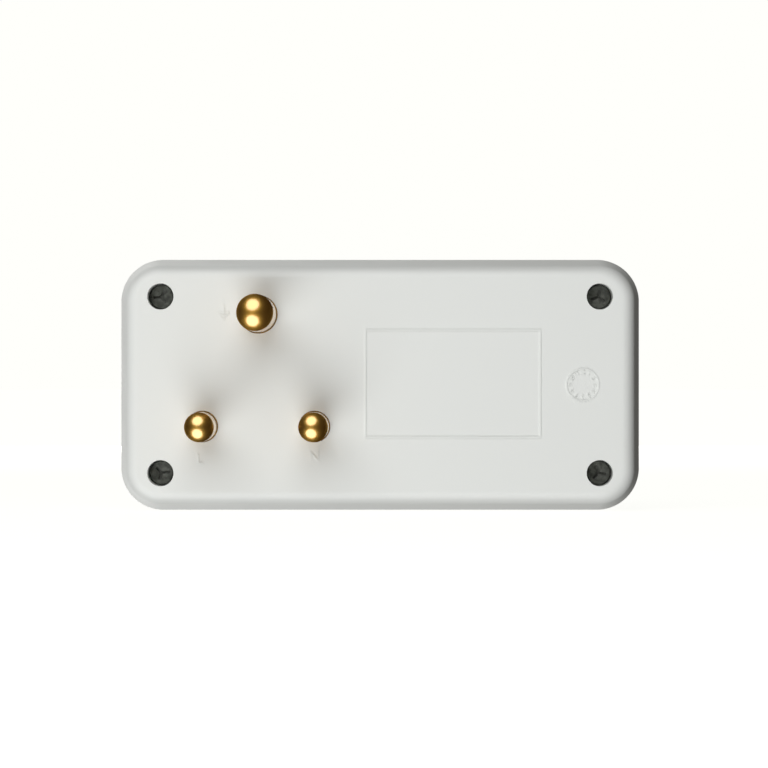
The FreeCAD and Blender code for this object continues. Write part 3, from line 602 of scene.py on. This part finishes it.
markSpec = {
    "rise": 0.2 * mm, "line": 0.4 * mm, "frameLow": (-3.7 * mm, -12.8 * mm), "frameHigh": (38.6 * mm, 13.3 * mm),
    "dialPlace": (48.6 * mm, 0.0), "dialRadius": 4.0 * mm, "dialLine": 0.3 * mm, "dialSides": 96, "months": 12,
    "numberRing": 2.9 * mm, "numberSize": 1.3 * mm,
    "letterSize": 3.2 * mm, "live": (-43.2 * mm, -17.9 * mm), "neutral": (-15.7 * mm, -17.3 * mm),
    "earth": (-37.5 * mm, 17.5 * mm), "earthStem": 1.6 * mm, "earthStep": 0.75 * mm,
    "earthBars": (1.4 * mm, 0.9 * mm, 0.4 * mm),
}


def raisedBox(shell, low, high, rise):
    block = bmesh.ops.create_cube(shell, size=1)["verts"]
    for vert in block:
        vert.co = Vector((low[0] + (vert.co.x + 0.5) * (high[0] - low[0]),
                          (vert.co.y - 0.5) * rise,
                          low[1] + (vert.co.z + 0.5) * (high[1] - low[1])))


def raisedRing(shell, place, outer, inner, rise, sides):
    rings = []
    for radius, depth in ((outer, 0), (outer, -rise), (inner, -rise), (inner, 0)):
        rings.append([shell.verts.new((place[0] + radius * math.cos(2 * math.pi * side / sides), depth,
                                       place[1] + radius * math.sin(2 * math.pi * side / sides)))
                      for side in range(sides)])
    for first, second in zip(rings, rings[1:] + rings[:1]):
        for side in range(sides):
            after = (side + 1) % sides
            shell.faces.new((first[side], first[after], second[after], second[side]))


def finishMark(name, shell):
    bmesh.ops.recalc_face_normals(shell, faces=shell.faces)
    mesh = bpy.data.meshes.new(name)
    shell.to_mesh(mesh)
    shell.free()
    newPiece(name, mesh, "housing_plastic")


def buildFrameMark(spec):
    shell = bmesh.new()
    (left, bottom), (right, top), line = spec["frameLow"], spec["frameHigh"], spec["line"]
    raisedBox(shell, (left, bottom), (right, bottom + line), spec["rise"])
    raisedBox(shell, (left, top - line), (right, top), spec["rise"])
    raisedBox(shell, (left, bottom + line), (left + line, top - line), spec["rise"])
    raisedBox(shell, (right - line, bottom + line), (right, top - line), spec["rise"])
    finishMark("labelFrame", shell)


def buildLetter(name, text, place, size, turn, spec):
    curve = bpy.data.curves.new(name, "FONT")
    curve.body = text
    curve.size = size
    curve.align_x = curve.align_y = "CENTER"
    curve.extrude = spec["rise"] / 2
    holder = bpy.data.objects.new(name, curve)
    collection.objects.link(holder)
    facing = Matrix.Rotation(math.radians(90), 4, "X")
    holder.matrix_world = (Matrix.Translation((place[0], -spec["rise"] / 2, place[1]))
                           @ Matrix.Rotation(turn, 4, "Y") @ facing)
    newPiece(name, settled(name, holder), "housing_plastic")


def buildEarthMark(spec):
    shell = bmesh.new()
    (x, z), line = spec["earth"], spec["line"]
    raisedBox(shell, (x - line / 2, z), (x + line / 2, z + spec["earthStem"]), spec["rise"])
    for row, half in enumerate(spec["earthBars"]):
        level = z - row * spec["earthStep"]
        raisedBox(shell, (x - half, level - line), (x + half, level), spec["rise"])
    finishMark("earthMark", shell)


def buildDial(spec):
    shell = bmesh.new()
    radius, (x, z) = spec["dialRadius"], spec["dialPlace"]
    raisedRing(shell, (x, z), radius, radius - spec["dialLine"], spec["rise"], spec["dialSides"])
    finishMark("dialRing", shell)
    for month in range(1, spec["months"] + 1):
        turn = 2 * math.pi * month / spec["months"]
        place = (x + spec["numberRing"] * math.sin(turn), z + spec["numberRing"] * math.cos(turn))
        buildLetter(f"dialNumber{month}", str(month), place, spec["numberSize"], turn, spec)


buildFrameMark(markSpec)
buildEarthMark(markSpec)
buildLetter("liveMark", "L", markSpec["live"], markSpec["letterSize"], 0, markSpec)
buildLetter("neutralMark", "N", markSpec["neutral"], markSpec["letterSize"], 0, markSpec)
buildDial(markSpec)
print("marks built")


# Stage, lamps and camera

stageSpec = {
    "floorHeight": cadLow.z, "floorSize": 40, "fadeNear": 0.35, "fadeFar": 0.9, "nearGlow": 0.94,
    "floorTone": tint(0.16, 0.16, 0.155), "paper": tint(1, 1, 0.965),
    "roomTone": tint(0.98, 1, 0.97), "roomGlow": 0.09,
    "tentRadius": 1.9, "tentRows": 24, "wallFade": (0.5, 1.2), "rightFade": (-0.5, 0.5),
    "darkSide": tint(0.032, 0.02, 0.008), "wallTone": tint(1.45, 1.45, 1.41),
}


def stageObject(name, mesh, material):
    mesh.materials.append(material)
    staged = bpy.data.objects.new(name, mesh)
    collection.objects.link(staged)
    return staged


def floorMaterial(spec):
    material, graph = newMaterial("stageFloor")
    reach = graph.node("ShaderNodeVectorMath", {0: graph.place()}, "Value", operation="LENGTH")
    rest = 1 - spec["nearGlow"]
    strength = graph.between(reach, spec["fadeNear"], spec["fadeFar"]) * rest + spec["nearGlow"]
    glow = graph.node("ShaderNodeEmission", {"Color": spec["paper"], "Strength": strength})
    plain = graph.node("ShaderNodeBsdfDiffuse", {"Color": spec["floorTone"]})
    showSurface(graph, graph.node("ShaderNodeAddShader", {0: plain, 1: glow}))
    return material


def buildFloor(spec):
    shell = bmesh.new()
    bmesh.ops.create_grid(shell, x_segments=1, y_segments=1, size=spec["floorSize"] / 2)
    bmesh.ops.translate(shell, verts=shell.verts, vec=(0, 0, spec["floorHeight"]))
    mesh = bpy.data.meshes.new("stageFloor")
    shell.to_mesh(mesh)
    shell.free()
    floor = stageObject("stageFloor", mesh, floorMaterial(spec))
    floor.visible_shadow = False  # white in the picture, and it only takes the box's shadow
    floor.visible_glossy = False
    floor.visible_diffuse = False


def tentMaterial(spec):  # what the glossy surfaces mirror: dark before the box, a grey wall behind it
    material, graph = newMaterial("stageTent")
    x, y, _ = graph.axes(graph.place())
    wall = graph.between(y, *spec["wallFade"]) * (1 - graph.between(x, *spec["rightFade"]))
    colour = graph.mixed(wall, spec["darkSide"], spec["wallTone"])
    showSurface(graph, graph.node("ShaderNodeEmission", {"Color": colour, "Strength": 1.0}))
    return material


def buildTent(spec):
    shell = bmesh.new()
    rows = spec["tentRows"]
    bmesh.ops.create_uvsphere(shell, u_segments=2 * rows, v_segments=rows, radius=spec["tentRadius"])
    mesh = bpy.data.meshes.new("stageTent")
    shell.to_mesh(mesh)
    shell.free()
    tent = stageObject("stageTent", mesh, tentMaterial(spec))
    tent.visible_camera = False
    tent.visible_diffuse = False
    tent.visible_shadow = False
    tent.visible_transmission = False


def buildWorld(spec):
    world = bpy.data.worlds.new("whiteRoom")
    bpy.context.scene.world = world
    world.use_nodes = True
    graph = Graph(world.node_tree)
    rays = graph.node("ShaderNodeLightPath").socket.node.outputs
    shown = graph.maths("MAXIMUM", *(Wire(graph, rays[name]) for name in ("Is Camera Ray", "Is Transmission Ray")))
    white = graph.node("ShaderNodeBackground", {"Color": spec["paper"], "Strength": 1.0})
    dim = graph.node("ShaderNodeBackground", {"Color": spec["roomTone"], "Strength": spec["roomGlow"]})
    graph.node("ShaderNodeOutputWorld", {"Surface": graph.node("ShaderNodeMixShader", {0: shown, 1: dim, 2: white})})


def buildLamp(name, spec):
    lamp = bpy.data.lights.new(name, "AREA")
    lamp.shape = "DISK"
    lamp.size = spec["size"]
    lamp.energy = spec["watts"]
    holder = bpy.data.objects.new(name, lamp)
    collection.objects.link(holder)
    holder.location = Vector(spec["direction"]).normalized() * spec["distance"]
    holder.rotation_euler = (-holder.location).to_track_quat("-Z", "Y").to_euler()
    holder.visible_glossy = spec["mirrored"]


lampSpecs = {
    "lowerLamp": {"direction": (-0.23, -0.72, -0.65), "distance": 0.8, "size": 0.88, "watts": 5.2, "mirrored": True},
    "upperLamp": {"direction": (-0.21, -0.74, 0.63), "distance": 0.8, "size": 0.88, "watts": 4.4, "mirrored": True},
    "frontLamp": {"direction": (-0.08, 1, 0.06), "distance": 1.0, "size": 0.4, "watts": 5, "mirrored": False},
}
cameraSpec = {"place": (0.00094, -0.95, 0.00020), "sensor": 36, "lens": 185.69, "nearest": 0.01}


def buildCamera(spec):
    camera = bpy.data.cameras.new("photoCamera")
    camera.sensor_width = spec["sensor"]
    camera.lens = spec["lens"]
    camera.clip_start = spec["nearest"]
    holder = bpy.data.objects.new("photoCamera", camera)
    collection.objects.link(holder)
    holder.location = spec["place"]
    holder.rotation_euler = (math.radians(90), 0, 0)
    bpy.context.scene.camera = holder


buildFloor(stageSpec)
buildTent(stageSpec)
buildWorld(stageSpec)
for lampName, lampSpec in lampSpecs.items():
    buildLamp(lampName, lampSpec)
buildCamera(cameraSpec)
bpy.context.scene.view_settings.view_transform = "Standard"
print("stage, lamps and camera stand")
